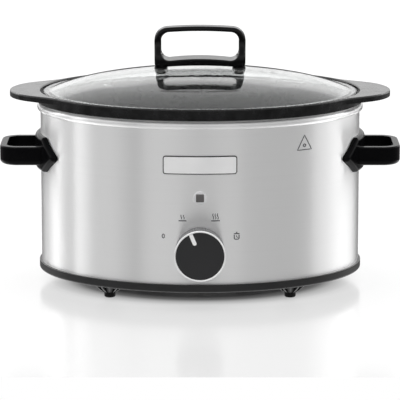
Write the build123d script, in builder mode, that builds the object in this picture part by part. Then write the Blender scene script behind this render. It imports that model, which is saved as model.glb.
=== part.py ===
"""Oval countertop slow cooker of about 3.5 litres.

A steel-wrapped heating base on four feet holds a removable stoneware crock, which a domed glass lid closes.
A rotary knob in front selects off, low, high or keep warm.

The part stands on Z = 0 with its front facing -Y. It is drawn about the oval's own axis, and every piece is
moved back by FOOTPRINT_SHIFT when it is written, so that the origin is the centre of the footprint.
"""

import os
from math import sqrt

from build123d import *

os.makedirs("parts", exist_ok=True)

# ---------------------------------------------------------------- driving dimensions, mm
# Every oval is an ellipse whose front-to-back semi-axis is OVAL_NARROWER less than its side-to-side one.
OVAL_NARROWER = 36.5

# Gaps on a side, from pressed or glued fits to holes that a screw passes freely
SHAFT_FIT = 0.02
PRESS_GAP = 0.05
SLIP_GAP = 0.1
LOOSE_GAP = 0.3

# How far a cutting shape runs past what it cuts, and how near counts as the same place
BEYOND = 5.0
SAME_PLACE = 0.2
HEX = 6

# Wrapped steel shell and its rolled top bead
SHELL_A = 152.0
SHEET = 0.8
SHELL_BOTTOM = 15.5
BEAD_A = 155.0
BEAD_BOTTOM = 165.8
BEAD_TOP = 172.5
BEAD_ROUND = 2.8

# Plastic base tray, its skirt and its feet
SKIRT_A = 154.2
SKIRT_BOTTOM = 12.8
SKIRT_TOP = 20.4
SKIRT_ROUND = 1.6
TRAY_FLOOR = 2.7
LOCATING_RING_H = 5.0
LOCATING_RING_T = 1.8
VENT_L, VENT_W = 26.0, 3.0
VENT_PITCH, VENT_ROWS = 9.0, 5
VENT_SPAN = 93.0
FOOT_X, FOOT_Y = 84.5, 78.0
FOOT_FLARE_R = 16.0
FOOT_R = 5.3
FOOT_NECK_R = 4.9
FOOT_WAIST = (11.0, 8.4)
FOOT_POST_SUNK = 0.8
FOOT_CORE_R = 11.0
FOOT_RIBS = 6
FOOT_RIB_T = 1.7
FOOT_FLAT_R = 3.8
PAD_TOP = 4.6
PAD_STEM_R = 2.5
PAD_STEM_TOP = 10.5

# Heating well: the tapered steel tub that the crock sits in
WELL_FLOOR = 33.0
WELL_FLOOR_A = 126.5
WELL_TOP_A = 146.5
WELL_ROUND = 12.0
FLANGE_A = 153.6
FLANGE_T = 1.6
FLANGE_ROUND = 0.7

# Heater band, the blanket round it and the thermal fuse under the well
BAND_BOTTOM, BAND_TOP = 44.0, 92.0
BAND_GAP, BAND_T = 0.15, 2.2
BAND_SLOT_W, BAND_SLOT_L = 6.0, 40.0
WRAP_GAP, WRAP_T = 2.6, 3.0
WRAP_BOTTOM, WRAP_TOP = 44.3, 96.0
FUSE_X, FUSE_Y, FUSE_R, FUSE_L = 46.0, -30.0, 2.2, 14.0
FUSE_ROUND = 0.6
CLIP_T = 0.8
CLIP_W, CLIP_TAIL = 8.0, 12.0
CLIP_MOUTH_W, CLIP_MOUTH_H = 2.4, 4.0

# Bolt that ties the well, the shell and the tray together
TIE_R = 3.0
TIE_HEAD_R, TIE_HEAD_T = 9.0, 1.5
TIE_NUT_R, TIE_NUT_T = 5.8, 4.0
TIE_WASHER_T = 1.2
TIE_TIP = 0.8

# Stoneware crock
FLANGE_TOP = BEAD_TOP + FLANGE_T
SEAT_GAP = 0.3
CROCK_BOTTOM = 36.0
CROCK_BOTTOM_A = 122.5
CROCK_TOP_A = 143.0
CROCK_WALL = 8.5
CROCK_FLOOR_T = 9.0
CROCK_ROUND, CROCK_INNER_ROUND = 18.0, 14.0
RIM_BOTTOM = FLANGE_TOP + SEAT_GAP
RIM_TOP = 184.8
RIM_A = 155.0
RIM_WALL = 3.0
LEDGE_Z = 179.4
LEDGE_INNER_A = 134.0
LUG_REACH = 181.0
LUG_SHOULDER = (171.0, 31.0)
LUG_SPRING_X = 131.0
LUG_BOTTOM = 179.2
SEAT_ROUND, RIM_ROUND = 2.5, 1.3

# Glass lid
LID_A = 149.6
LID_EDGE_BOTTOM = LEDGE_Z + SEAT_GAP
LID_EDGE_T = 4.2
LID_EDGE_ROUND = 1.6
LID_RIM_WIDTH, LID_FOOT_WIDTH = 6.0, 7.5
GLASS_T = 4.0
DOME_TOP = 205.1
SHOULDER_SHARE, SHOULDER_DROP = 0.72, 0.45
LID_RATIO = (LID_A - OVAL_NARROWER) / LID_A
GLASS_HOLE_R = 3.1

# Lid handle: a closed bow on two bosses
GRIP_TOP = 245.4
GRIP_SHOULDER = 243.2
GRIP_HALF = 43.4
GRIP_FOOT_HALF = 43.0
GRIP_CORNER, GRIP_FOOT_CORNER, GRIP_HOLE_CORNER = 13.0, 4.0, 8.0
GRIP_BAR_BOTTOM = 206.6
GRIP_BAR_ARCH = 208.6
GRIP_HOLE_HALF = 36.8
GRIP_HOLE_TOP = 241.0
GRIP_HOLE_SHOULDER = 239.4
GRIP_HOLE_BOTTOM = 212.4
GRIP_HOLE_ARCH = 215.2
GRIP_DEPTH_LOW, GRIP_DEPTH_HIGH = 13.5, 8.0
GRIP_BAR_TOP, GRIP_NECK_Z = 213.0, 232.0
GRIP_ROUND, GRIP_HOLE_ROUND = 2.6, 1.3
BOSS_X = 37.0
BOSS_R = 5.8
SEAL_R = 6.3
SEAL_TOP, SEAL_BLANK_T = 205.4, 4.0
LID_SCREW_R = 2.2
LID_SCREW_HEAD_R = 4.6
LID_SCREW_BOTTOM = 196.8
LID_SCREW_HEAD_T = 2.6
LID_SCREW_HEAD_ROUND = 1.2
CROSS_L, CROSS_W, CROSS_DEEP = 5.0, 1.0, 1.4
LID_SCREW_TOP = 219.0

# Side handles: a loop on a plate that hugs the shell
LOOP_REACH = 190.0
LOOP_HALF_WIDTH = 34.3
LOOP_BOTTOM, LOOP_TOP = 116.3, 134.2
LOOP_WALL = 6.4
LOOP_CORNER_R = 17.0
LOOP_UNDER_ROUND, LOOP_TOP_ROUND = 4.5, 1.5
LOOP_ROOT = 122.0
PLATE_T, PLATE_ROUND = 5.0, 3.5
PLATE_GAP = 0.1
PLATE_CORNER = 4.0
PLATE_OUTLINE = [(57.5, 127.0), (36.0, 144.0), (-36.0, 144.0), (-57.5, 127.0), (-36.0, 110.6), (36.0, 110.6)]
HANDLE_SCREW_Y = 30.5
HANDLE_SCREW_Z = 125.2
HANDLE_SCREW_R = 1.9
HANDLE_SCREW_TIP = 168.0
HANDLE_SCREW_HEAD_R = 3.6
HANDLE_SCREW_HEAD_SINK, HANDLE_SCREW_HEAD_T = 0.2, 2.2
HANDLE_SCREWS = [(side * HANDLE_SCREW_Y, HANDLE_SCREW_Z) for side in (1, -1)]
BRACKET_T = 1.2
BRACKET_OFF = 0.15
BRACKET_HALF, BRACKET_H, BRACKET_CORNER = 42.0, 18.0, 4.0

# Rotary control
KNOB_Z = 51.8
KNOB_REAR_R, KNOB_FRONT_R = 23.0, 23.7
KNOB_REAR = 117.4
KNOB_FRONT = 137.2
KNOB_RIM_R = 22.3
KNOB_CAP_RECESS, KNOB_CAP_T = 0.7, 1.2
KNOB_WALL = 2.6
KNOB_FLUTES, FLUTE_R, FLUTE_OUT = 60, 0.75, 0.5
FLUTE_START, FLUTE_END = 1.5, 2.0
RING_T, RING_ROUND = 2.0, 0.6
HUB_R, HUB_REAR = 6.5, 120.5
KNOB_CAVITY_FRONT = 130.0
HUB_FRONT, SHAFT_TIP = 131.0, 133.0
POINTER_ANGLE = 22.5
POINTER_IN, POINTER_OUT = 13.0, 22.2
POINTER_W = 3.6
POINTER_SUNK, POINTER_T = 0.8, 1.05
SHAFT_R = 3.0
SHAFT_GAP = 0.08
SHAFT_FLAT = 2.4
BUSHING_R, BUSHING_L = 4.5, 6.2
SWITCH_FRONT, SWITCH_BACK = 112.7, 100.6
SWITCH_HALF, SWITCH_CORNER = 12.0, 2.0
SWITCH_BACK_T, SWITCH_WALLS_T = 1.6, 3.4
SWITCH_CAVITY_R = 9.6
ROTOR_R, ROTOR_T, ROTOR_BACK = 8.4, 5.0, 103.0
SHAFT_BACK = 102.6
SWITCH_PLATE_FRONT = 113.7
SWITCH_PLATE_SIDE, SWITCH_PLATE_CORNER = 34.0, 3.0
SWITCH_NUT_BACK, SWITCH_NUT_T, SWITCH_NUT_R = 115.7, 2.2, 7.2

# Front badge and pilot light
BADGE_W, BADGE_H = 68.5, 17.2
BADGE_Z = 132.7
BADGE_CORNER = 2.6
BADGE_FRAME_W, BADGE_FRAME_T = 0.9, 0.6
BADGE_PLATE_CORNER, BADGE_PLATE_T = 1.8, 1.1
BADGE_DEPTH = 12.0
LAMP_Z = 102.1
BEZEL_R, BEZEL_T, BEZEL_ROUND = 6.3, 1.25, 0.7
BEZEL_TUBE_R, BEZEL_TUBE_L = 4.6, 4.0
LENS_SIDE, LENS_T, LENS_CORNER, LENS_BEVEL = 7.4, 1.5, 0.8, 0.7
LENS_SEAT = 0.3
LENS_STEM_SIDE, LENS_STEM_L, LENS_STEM_CORNER = 5.772, 3.2, 0.6
LAMP_R, LAMP_L, LAMP_TIP_ROUND = 2.4, 9.0, 1.6
LAMP_FRONT_IN = 5.2
SLEEVE_R, SLEEVE_L, SLEEVE_FRONT_IN = 3.6, 6.0, 7.0

# Cord inlet at the back
GLAND_Z = 33.0
GLAND_BORE_R = 3.8
GLAND_NOSE_R = 6.6
GLAND_FLANGE_R, GLAND_FLANGE_T, GLAND_ROUND = 9.2, 3.0, 1.5
GLAND_INSIDE, GLAND_BACK = 108.0, 126.0

# Terminal block and the internal wires
BLOCK_X, BLOCK_Y = -40.0, 72.0
BLOCK_L, BLOCK_W, BLOCK_H, BLOCK_CORNER = 34.0, 15.0, 11.0, 1.5
BLOCK_WELLS, BLOCK_PITCH, BLOCK_WELL_R, BLOCK_WELL_DEEP = 3, 11.0, 2.4, 5.0
LEAD_R = 1.2
LEAD_RISE_X = 122.8
LEAD_ABOVE_FLOOR = 5.0
LEAD_END_GAP = 0.2

FOOTPRINT_SHIFT = (KNOB_FRONT - GLAND_BACK) / 2

# ---------------------------------------------------------------- planes and shared shapes


def level(z):
    """Horizontal plane at height z."""
    return Plane.XY.offset(z)


def facing_front(y):
    """Vertical plane at distance y in front of the axis, looking back at it: local x is X and local y is Z."""
    return Plane(origin=(0, -y, 0), x_dir=(1, 0, 0), z_dir=(0, -1, 0))


def facing_back(y):
    """Vertical plane at distance y behind the axis: local y is Z."""
    return Plane(origin=(0, y, 0), x_dir=(-1, 0, 0), z_dir=(0, 1, 0))


def facing_right(x):
    """Vertical plane at X = x: local x is Y and local y is Z."""
    return Plane(origin=(x, 0, 0), x_dir=(0, 1, 0), z_dir=(1, 0, 0))


def oval(a, mode=Mode.ADD):
    return Ellipse(a, a - OVAL_NARROWER, mode=mode)


def oval_x(a, y):
    """How far out the oval of semi-axis a stands at distance y from its long axis."""
    return a * sqrt(1 - (y / (a - OVAL_NARROWER)) ** 2)


def oval_y(a, x):
    """How far out the oval of semi-axis a stands at distance x from its short axis."""
    return (a - OVAL_NARROWER) * sqrt(1 - (x / a) ** 2)


def oval_tangent(a, x):
    """Direction in which that oval runs at (x, oval_y), towards the short axis."""
    b = a - OVAL_NARROWER
    return (-(a**2) * oval_y(a, x), b**2 * x)


def oval_wall(bottom, top, outer_a, inner_a):
    """An upright oval wall."""
    with BuildPart() as wall:
        with BuildSketch(level(bottom)):
            oval(outer_a)
            oval(inner_a, mode=Mode.SUBTRACT)
        extrude(amount=top - bottom)
    return wall.part


def tub(bottom, bottom_a, top, top_a, round_r=0.0):
    """A solid tapered oval with a rounded foot."""
    with BuildPart() as body:
        with BuildSketch(level(bottom)):
            oval(bottom_a)
        with BuildSketch(level(top)):
            oval(top_a)
        loft()
        if round_r:
            fillet(body.faces().sort_by(Axis.Z)[0].edges(), round_r)
    return body.part


def well_a(z):
    """Semi-axis of the heating well's outside at height z."""
    share = (z - WELL_FLOOR) / (BEAD_TOP - WELL_FLOOR)
    return WELL_FLOOR_A + share * (WELL_TOP_A - WELL_FLOOR_A)


def wrap_round_well(bottom, top, inner_gap, outer_gap):
    """A band that follows the well's taper, between two distances outside it."""
    with BuildPart() as band:
        add(tub(bottom, well_a(bottom) + outer_gap, top, well_a(top) + outer_gap))
        add(tub(bottom, well_a(bottom) + inner_gap, top, well_a(top) + inner_gap), mode=Mode.SUBTRACT)
    return band.part


def against_shell(plane, outline, depth, inner_gap, thickness):
    """A plate of that outline, curved to the shell, lying between inner_gap and inner_gap + thickness outside it."""
    low, high = -BEYOND, BEAD_TOP + BEYOND
    with BuildPart() as plate:
        with BuildSketch(plane):
            add(outline)
        extrude(amount=depth, both=True)
        add(oval_wall(low, high, SHELL_A + inner_gap + thickness, SHELL_A + inner_gap), mode=Mode.INTERSECT)
    return plate.part


def write(builder_or_part, name):
    """Labels a finished piece, moves it to the footprint's centre and writes it."""
    part = builder_or_part.part if isinstance(builder_or_part, BuildPart) else builder_or_part
    placed = part.moved(Location((0, FOOTPRINT_SHIFT, 0)))
    placed.label = name
    export_step(placed, f"parts/{name}.step")


# ---------------------------------------------------------------- outer shell

with BuildPart() as outer_shell:
    add(oval_wall(SHELL_BOTTOM, BEAD_TOP, SHELL_A, SHELL_A - SHEET))
    add(oval_wall(BEAD_BOTTOM, BEAD_TOP, BEAD_A, SHELL_A - SHEET))
    fillet(outer_shell.edges().group_by(SortBy.LENGTH)[-1], BEAD_ROUND)
    # Openings for the switch bushing, the pilot light and the cord gland
    with BuildSketch(facing_front(SHELL_A)):
        with Locations((0, KNOB_Z)):
            Circle(BUSHING_R + LOOSE_GAP)
        with Locations((0, LAMP_Z)):
            Circle(BEZEL_TUBE_R + SLIP_GAP)
    extrude(amount=-SHELL_A, mode=Mode.SUBTRACT)
    with BuildSketch(facing_back(SHELL_A)):
        with Locations((0, GLAND_Z)):
            Circle(GLAND_NOSE_R + LOOSE_GAP)
    extrude(amount=-SHELL_A, mode=Mode.SUBTRACT)
    # Openings for the side handles' screws
    with BuildSketch(facing_right(0)):
        with Locations(*HANDLE_SCREWS):
            Circle(HANDLE_SCREW_R + LOOSE_GAP)
    extrude(amount=SHELL_A + BEYOND, both=True, mode=Mode.SUBTRACT)
write(outer_shell, "outer_shell")

# ---------------------------------------------------------------- base tray and feet

FEET = [(x, y) for x in (-FOOT_X, FOOT_X) for y in (-FOOT_Y, FOOT_Y)]
FOOT_NAMES = ["foot_front_left", "foot_back_left", "foot_front_right", "foot_back_right"]

POST_TOP = SKIRT_BOTTOM + FOOT_POST_SUNK
WAIST_R, WAIST_Z = FOOT_WAIST

with BuildPart() as rib:
    with BuildSketch(Plane.XZ):
        with BuildLine():
            flare = ThreePointArc((FOOT_R, PAD_TOP), (WAIST_R, WAIST_Z), (FOOT_FLARE_R, POST_TOP))
            Line(flare @ 1, (-FOOT_FLARE_R, POST_TOP))
            other = ThreePointArc((-FOOT_FLARE_R, POST_TOP), (-WAIST_R, WAIST_Z), (-FOOT_R, PAD_TOP))
            Line(other @ 1, flare @ 0)
        make_face()
    extrude(amount=FOOT_RIB_T / 2, both=True)

# Foot post: a slim cone with flared ribs round it
with BuildPart() as foot_post:
    with BuildSketch(level(PAD_TOP)):
        Circle(FOOT_NECK_R)
    with BuildSketch(level(POST_TOP)):
        Circle(FOOT_CORE_R)
    loft()
    for turn in range(FOOT_RIBS):
        with Locations(Rotation(0, 0, turn * 180 / FOOT_RIBS)):
            add(rib.part)

with BuildPart() as base_tray:
    with BuildSketch(level(SKIRT_BOTTOM)):
        oval(SKIRT_A)
    extrude(amount=SKIRT_TOP - SKIRT_BOTTOM)
    fillet(base_tray.faces().sort_by(Axis.Z)[0].edges(), SKIRT_ROUND)
    # The hollow inside the skirt, leaving the tray's floor
    with BuildSketch(level(SKIRT_BOTTOM + TRAY_FLOOR)):
        oval(SHELL_A + SLIP_GAP)
    extrude(amount=SKIRT_TOP, mode=Mode.SUBTRACT)
    # Ring inside the shell that locates it
    ring_a = SHELL_A - SHEET - LOOSE_GAP
    floor_top = SKIRT_BOTTOM + TRAY_FLOOR
    add(oval_wall(floor_top, floor_top + LOCATING_RING_H, ring_a, ring_a - LOCATING_RING_T))
    with Locations([(x, y, 0) for x, y in FEET]):
        add(foot_post.part)
    with BuildSketch(level(PAD_TOP)):
        with Locations(*FEET):
            Circle(PAD_STEM_R + PRESS_GAP)
    extrude(amount=PAD_STEM_TOP + LOOSE_GAP - PAD_TOP, mode=Mode.SUBTRACT)
    # Tie bolt hole and two rows of vent slots
    with BuildSketch(level(SKIRT_BOTTOM - BEYOND)):
        Circle(TIE_R + LOOSE_GAP)
        with GridLocations(VENT_SPAN, VENT_PITCH, 2, VENT_ROWS):
            SlotOverall(VENT_L, VENT_W)
    extrude(amount=TRAY_FLOOR + 2 * BEYOND, mode=Mode.SUBTRACT)
write(base_tray, "base_tray")

for (x, y), name in zip(FEET, FOOT_NAMES):
    with BuildPart() as foot:
        with BuildSketch(level(0)):
            with Locations((x, y)):
                Circle(FOOT_R)
        extrude(amount=PAD_TOP)
        fillet(foot.faces().sort_by(Axis.Z)[0].edges(), FOOT_R - FOOT_FLAT_R)
        with BuildSketch(level(PAD_TOP)):
            with Locations((x, y)):
                Circle(PAD_STEM_R)
        extrude(amount=PAD_STEM_TOP - PAD_TOP)
    write(foot, name)

# ---------------------------------------------------------------- heating well and what is round it

with BuildPart() as heating_well:
    add(tub(WELL_FLOOR, WELL_FLOOR_A, BEAD_TOP, WELL_TOP_A, WELL_ROUND))
    with BuildSketch(level(BEAD_TOP)):
        oval(FLANGE_A)
    extrude(amount=FLANGE_T)
    well_inside = tub(WELL_FLOOR + SHEET, WELL_FLOOR_A - SHEET, FLANGE_TOP, WELL_TOP_A - SHEET, WELL_ROUND - SHEET)
    add(well_inside, mode=Mode.SUBTRACT)
    fillet(heating_well.faces().sort_by(Axis.Z)[-1].edges().sort_by(SortBy.LENGTH)[-1], FLANGE_ROUND)
write(heating_well, "heating_well")

with BuildPart() as heater_band:
    add(wrap_round_well(BAND_BOTTOM, BAND_TOP, BAND_GAP, BAND_GAP + BAND_T))
    # The band's two ends meet at the back with a gap
    with BuildSketch(level(BAND_BOTTOM - BEYOND)):
        with Locations((0, oval_y(WELL_TOP_A, 0))):
            Rectangle(BAND_SLOT_W, BAND_SLOT_L)
    extrude(amount=BAND_TOP - BAND_BOTTOM + 2 * BEYOND, mode=Mode.SUBTRACT)
write(heater_band, "heater_band")

write(wrap_round_well(WRAP_BOTTOM, WRAP_TOP, WRAP_GAP, WRAP_GAP + WRAP_T), "insulation_wrap")

# Thermal fuse lying under the well's floor in a spring clip
FUSE_Z = WELL_FLOOR - CLIP_T - FUSE_R - SLIP_GAP

with BuildPart() as thermal_fuse:
    with BuildSketch(facing_right(FUSE_X - FUSE_L / 2)):
        with Locations((FUSE_Y, FUSE_Z)):
            Circle(FUSE_R)
    extrude(amount=FUSE_L)
    fillet(thermal_fuse.edges(), FUSE_ROUND)
write(thermal_fuse, "thermal_fuse")

with BuildPart() as fuse_clip:
    with BuildSketch(facing_right(FUSE_X - CLIP_W / 2)):
        with Locations((FUSE_Y, FUSE_Z)):
            Circle(FUSE_R + SLIP_GAP + CLIP_T)
        with Locations((FUSE_Y + CLIP_TAIL / 2, WELL_FLOOR - CLIP_T / 2)):
            Rectangle(CLIP_TAIL, CLIP_T)
        with Locations((FUSE_Y, FUSE_Z)):
            Circle(FUSE_R + SLIP_GAP, mode=Mode.SUBTRACT)
            with Locations((0, -FUSE_R)):
                Rectangle(CLIP_MOUTH_W, CLIP_MOUTH_H, mode=Mode.SUBTRACT)
    extrude(amount=CLIP_W)
write(fuse_clip, "fuse_clip")

# ---------------------------------------------------------------- tie bolt that draws the well down onto the tray

with BuildPart() as tie_stud:
    with BuildSketch(level(WELL_FLOOR - TIE_HEAD_T)):
        Circle(TIE_HEAD_R)
    extrude(amount=TIE_HEAD_T)
    with BuildSketch(level(SKIRT_BOTTOM - TIE_WASHER_T - TIE_NUT_T - TIE_TIP)):
        Circle(TIE_R)
    extrude(until=Until.NEXT)
write(tie_stud, "tie_stud")

with BuildPart() as tie_washer:
    with BuildSketch(level(SKIRT_BOTTOM - TIE_WASHER_T)):
        Circle(TIE_HEAD_R)
        Circle(TIE_R + SLIP_GAP, mode=Mode.SUBTRACT)
    extrude(amount=TIE_WASHER_T)
write(tie_washer, "tie_washer")

with BuildPart() as tie_nut:
    with BuildSketch(level(SKIRT_BOTTOM - TIE_WASHER_T - TIE_NUT_T)):
        RegularPolygon(TIE_NUT_R, HEX)
        Circle(TIE_R + PRESS_GAP, mode=Mode.SUBTRACT)
    extrude(amount=TIE_NUT_T)
write(tie_nut, "tie_nut")

# ---------------------------------------------------------------- stoneware crock

spring_y = oval_y(RIM_A, LUG_SPRING_X)

with BuildSketch() as lug_plan:
    with BuildLine():
        tip = TangentArc((LUG_REACH, 0), LUG_SHOULDER, tangent=(0, 1))
        blend = Spline(tip @ 1, (LUG_SPRING_X, spring_y), tangents=[tip % 1, oval_tangent(RIM_A, LUG_SPRING_X)])
        Polyline(blend @ 1, (LUG_SPRING_X, 0), tip @ 0)
    make_face()
    mirror(about=Plane.XZ)
    mirror(about=Plane.YZ)

with BuildPart() as crock:
    add(tub(CROCK_BOTTOM, CROCK_BOTTOM_A, RIM_BOTTOM, CROCK_TOP_A, CROCK_ROUND))
    with BuildSketch(level(RIM_BOTTOM)):
        oval(RIM_A)
    extrude(amount=RIM_TOP - RIM_BOTTOM)
    with BuildSketch(level(LUG_BOTTOM)):
        oval(RIM_A)
        add(lug_plan.sketch)
    extrude(amount=RIM_TOP - LUG_BOTTOM)
    # Recess that the lid drops into, then the cooking space
    with BuildSketch(level(LEDGE_Z)):
        oval(RIM_A - RIM_WALL)
    extrude(amount=RIM_TOP, mode=Mode.SUBTRACT)
    crock_floor = CROCK_BOTTOM + CROCK_FLOOR_T
    inside = tub(crock_floor, CROCK_BOTTOM_A - CROCK_WALL, LEDGE_Z, LEDGE_INNER_A, CROCK_INNER_ROUND)
    add(inside, mode=Mode.SUBTRACT)
    # Glazed edges are never sharp
    lid_seat = crock.faces().filter_by(Plane.XY).filter_by(lambda f: abs(f.center().Z - LEDGE_Z) < SAME_PLACE)
    fillet(lid_seat.edges().sort_by(SortBy.LENGTH)[0], SEAT_ROUND)
    top_face = crock.faces().filter_by(Plane.XY).sort_by(Axis.Z)[-1]
    fillet(top_face.edges(), RIM_ROUND)
write(crock, "crock")

# ---------------------------------------------------------------- glass lid

LID_EDGE_TOP = LID_EDGE_BOTTOM + LID_EDGE_T
DOME_FOOT_R = LID_A - LID_RIM_WIDTH


def dome_section(drop, foot_r, foot_z):
    """Half of a dome's section, from the axis to its foot: a flat crown and a rounder shoulder."""
    crown_z = DOME_TOP - drop
    shoulder = (foot_r * SHOULDER_SHARE, crown_z - (crown_z - foot_z) * SHOULDER_DROP)
    crown = TangentArc((0, crown_z), shoulder, tangent=(1, 0))
    return crown, TangentArc(crown @ 1, (foot_r, foot_z), tangent=crown % 1)


inner_foot = (LID_A - LID_FOOT_WIDTH, LID_EDGE_BOTTOM)

with BuildPart() as round_lid:
    with BuildSketch(Plane.XZ):
        with BuildLine():
            dome_section(0, DOME_FOOT_R, LID_EDGE_TOP)
            edge = ((DOME_FOOT_R, LID_EDGE_TOP), (LID_A, LID_EDGE_TOP), (LID_A, LID_EDGE_BOTTOM), inner_foot)
            Polyline(*edge)
            dome_section(GLASS_T, *inner_foot)
            Line((0, DOME_TOP - GLASS_T), (0, DOME_TOP))
        make_face()
    revolve(axis=Axis.Z)
    rims = round_lid.edges().filter_by(GeomType.CIRCLE).filter_by(lambda e: abs(e.radius - LID_A) < SAME_PLACE)
    fillet(rims, LID_EDGE_ROUND)

with BuildPart() as round_fill:
    with BuildSketch(Plane.XZ):
        with BuildLine():
            dome_section(-PRESS_GAP, DOME_FOOT_R, LID_EDGE_TOP)
            Polyline((DOME_FOOT_R, LID_EDGE_TOP), (DOME_FOOT_R, LID_EDGE_BOTTOM), (0, LID_EDGE_BOTTOM))
            Line((0, LID_EDGE_BOTTOM), (0, DOME_TOP + PRESS_GAP))
        make_face()
    revolve(axis=Axis.Z)
under_dome = scale(round_fill.part, by=(1, LID_RATIO, 1))

BOSSES = [(-BOSS_X, 0), (BOSS_X, 0)]

with BuildPart() as lid_glass:
    add(scale(round_lid.part, by=(1, LID_RATIO, 1)))
    with BuildSketch(level(LID_SCREW_BOTTOM)):
        with Locations(*BOSSES):
            Circle(GLASS_HOLE_R)
    extrude(amount=SEAL_TOP - LID_SCREW_BOTTOM, mode=Mode.SUBTRACT)
write(lid_glass, "lid_glass")


def in_grip_hole(point):
    """True on the handle's inner outline."""
    low, high = GRIP_HOLE_BOTTOM - SAME_PLACE, GRIP_HOLE_TOP + SAME_PLACE
    return abs(point.X) < GRIP_HOLE_HALF + SAME_PLACE and low < point.Z < high


def off_centre(edge):
    """True on an edge that runs along the front or the back of the handle."""
    return abs(edge.center().Y) > GRIP_DEPTH_HIGH / 2


with BuildPart() as lid_handle:
    with BuildSketch(Plane.XZ) as bow:
        with BuildLine():
            top = ThreePointArc((-GRIP_HALF, GRIP_SHOULDER), (0, GRIP_TOP), (GRIP_HALF, GRIP_SHOULDER))
            side = Line(top @ 1, (GRIP_FOOT_HALF, GRIP_BAR_BOTTOM))
            foot = ThreePointArc(side @ 1, (0, GRIP_BAR_ARCH), (-GRIP_FOOT_HALF, GRIP_BAR_BOTTOM))
            Line(foot @ 1, top @ 0)
        make_face()
        fillet(bow.vertices().group_by(Axis.Y)[-1], GRIP_CORNER)
        fillet(bow.vertices().group_by(Axis.Y)[0], GRIP_FOOT_CORNER)
    extrude(amount=GRIP_DEPTH_LOW, both=True)
    with BuildSketch(Plane.XZ) as opening:
        with BuildLine():
            roof = ThreePointArc(
                (-GRIP_HOLE_HALF, GRIP_HOLE_SHOULDER), (0, GRIP_HOLE_TOP), (GRIP_HOLE_HALF, GRIP_HOLE_SHOULDER)
            )
            right = Line(roof @ 1, (GRIP_HOLE_HALF, GRIP_HOLE_BOTTOM))
            bed = ThreePointArc(right @ 1, (0, GRIP_HOLE_ARCH), (-GRIP_HOLE_HALF, GRIP_HOLE_BOTTOM))
            Line(bed @ 1, roof @ 0)
        make_face()
        fillet(opening.vertices(), GRIP_HOLE_CORNER)
    extrude(amount=GRIP_DEPTH_LOW + BEYOND, both=True, mode=Mode.SUBTRACT)
    # Seen from the side the bow narrows upwards from a broad bar
    with BuildSketch(Plane.YZ):
        with BuildLine():
            for side in (-1, 1):
                broad, slim = side * GRIP_DEPTH_LOW, side * GRIP_DEPTH_HIGH
                foot_line = Line((broad, SEAL_TOP), (broad, GRIP_BAR_TOP))
                flank = Spline(foot_line @ 1, (slim, GRIP_NECK_Z), tangents=[(0, 1), (0, 1)])
                Line(flank @ 1, (slim, GRIP_TOP + BEYOND))
            Line((-GRIP_DEPTH_LOW, SEAL_TOP), (GRIP_DEPTH_LOW, SEAL_TOP))
            Line((-GRIP_DEPTH_HIGH, GRIP_TOP + BEYOND), (GRIP_DEPTH_HIGH, GRIP_TOP + BEYOND))
        make_face()
    extrude(amount=GRIP_HALF + BEYOND, both=True, mode=Mode.INTERSECT)
    fillet(lid_handle.edges().filter_by(lambda e: off_centre(e) and not in_grip_hole(e.center())), GRIP_ROUND)
    fillet(lid_handle.edges().filter_by(lambda e: off_centre(e) and in_grip_hole(e.center())), GRIP_HOLE_ROUND)
    # Bosses that stand on the glass, with blind screw holes
    with BuildSketch(level(SEAL_TOP)):
        with Locations(*BOSSES):
            Circle(BOSS_R)
    extrude(amount=GRIP_HOLE_BOTTOM - SEAL_TOP)
    with BuildSketch(level(SEAL_TOP)):
        with Locations(*BOSSES):
            Circle(LID_SCREW_R + PRESS_GAP)
    extrude(amount=LID_SCREW_TOP + LOOSE_GAP - SEAL_TOP, mode=Mode.SUBTRACT)
write(lid_handle, "lid_handle")

with BuildPart() as lid_seals:
    with BuildSketch(level(SEAL_TOP - SEAL_BLANK_T)):
        with Locations(*BOSSES):
            Circle(SEAL_R)
            Circle(LID_SCREW_R + SLIP_GAP, mode=Mode.SUBTRACT)
    extrude(amount=SEAL_BLANK_T)
    add(under_dome, mode=Mode.SUBTRACT)
write(lid_seals, "lid_seals")

HEAD_TOP = LID_SCREW_BOTTOM + LID_SCREW_HEAD_T

with BuildPart() as lid_screws:
    with BuildSketch(level(LID_SCREW_BOTTOM)):
        with Locations(*BOSSES):
            Circle(LID_SCREW_HEAD_R)
    extrude(amount=LID_SCREW_HEAD_T)
    fillet(lid_screws.faces().group_by(Axis.Z)[0].edges(), LID_SCREW_HEAD_ROUND)
    with BuildSketch(level(HEAD_TOP)):
        with Locations(*BOSSES):
            Circle(LID_SCREW_R)
    extrude(amount=LID_SCREW_TOP - HEAD_TOP)
    # Cross recess in each head
    with BuildSketch(level(LID_SCREW_BOTTOM)):
        with Locations(*BOSSES):
            Rectangle(CROSS_L, CROSS_W)
            Rectangle(CROSS_W, CROSS_L)
    extrude(amount=CROSS_DEEP, mode=Mode.SUBTRACT)
write(lid_screws, "lid_screws")

# ---------------------------------------------------------------- side handles

with BuildSketch() as plate_outline:
    Polygon(*PLATE_OUTLINE, align=None)
    fillet(plate_outline.vertices(), PLATE_CORNER)

# The loop is drawn well into the body, and its inner end is then cut to the shell
loop_l = LOOP_REACH - LOOP_ROOT
loop_h = LOOP_TOP - LOOP_BOTTOM
hole_l = loop_l - LOOP_WALL

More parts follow.
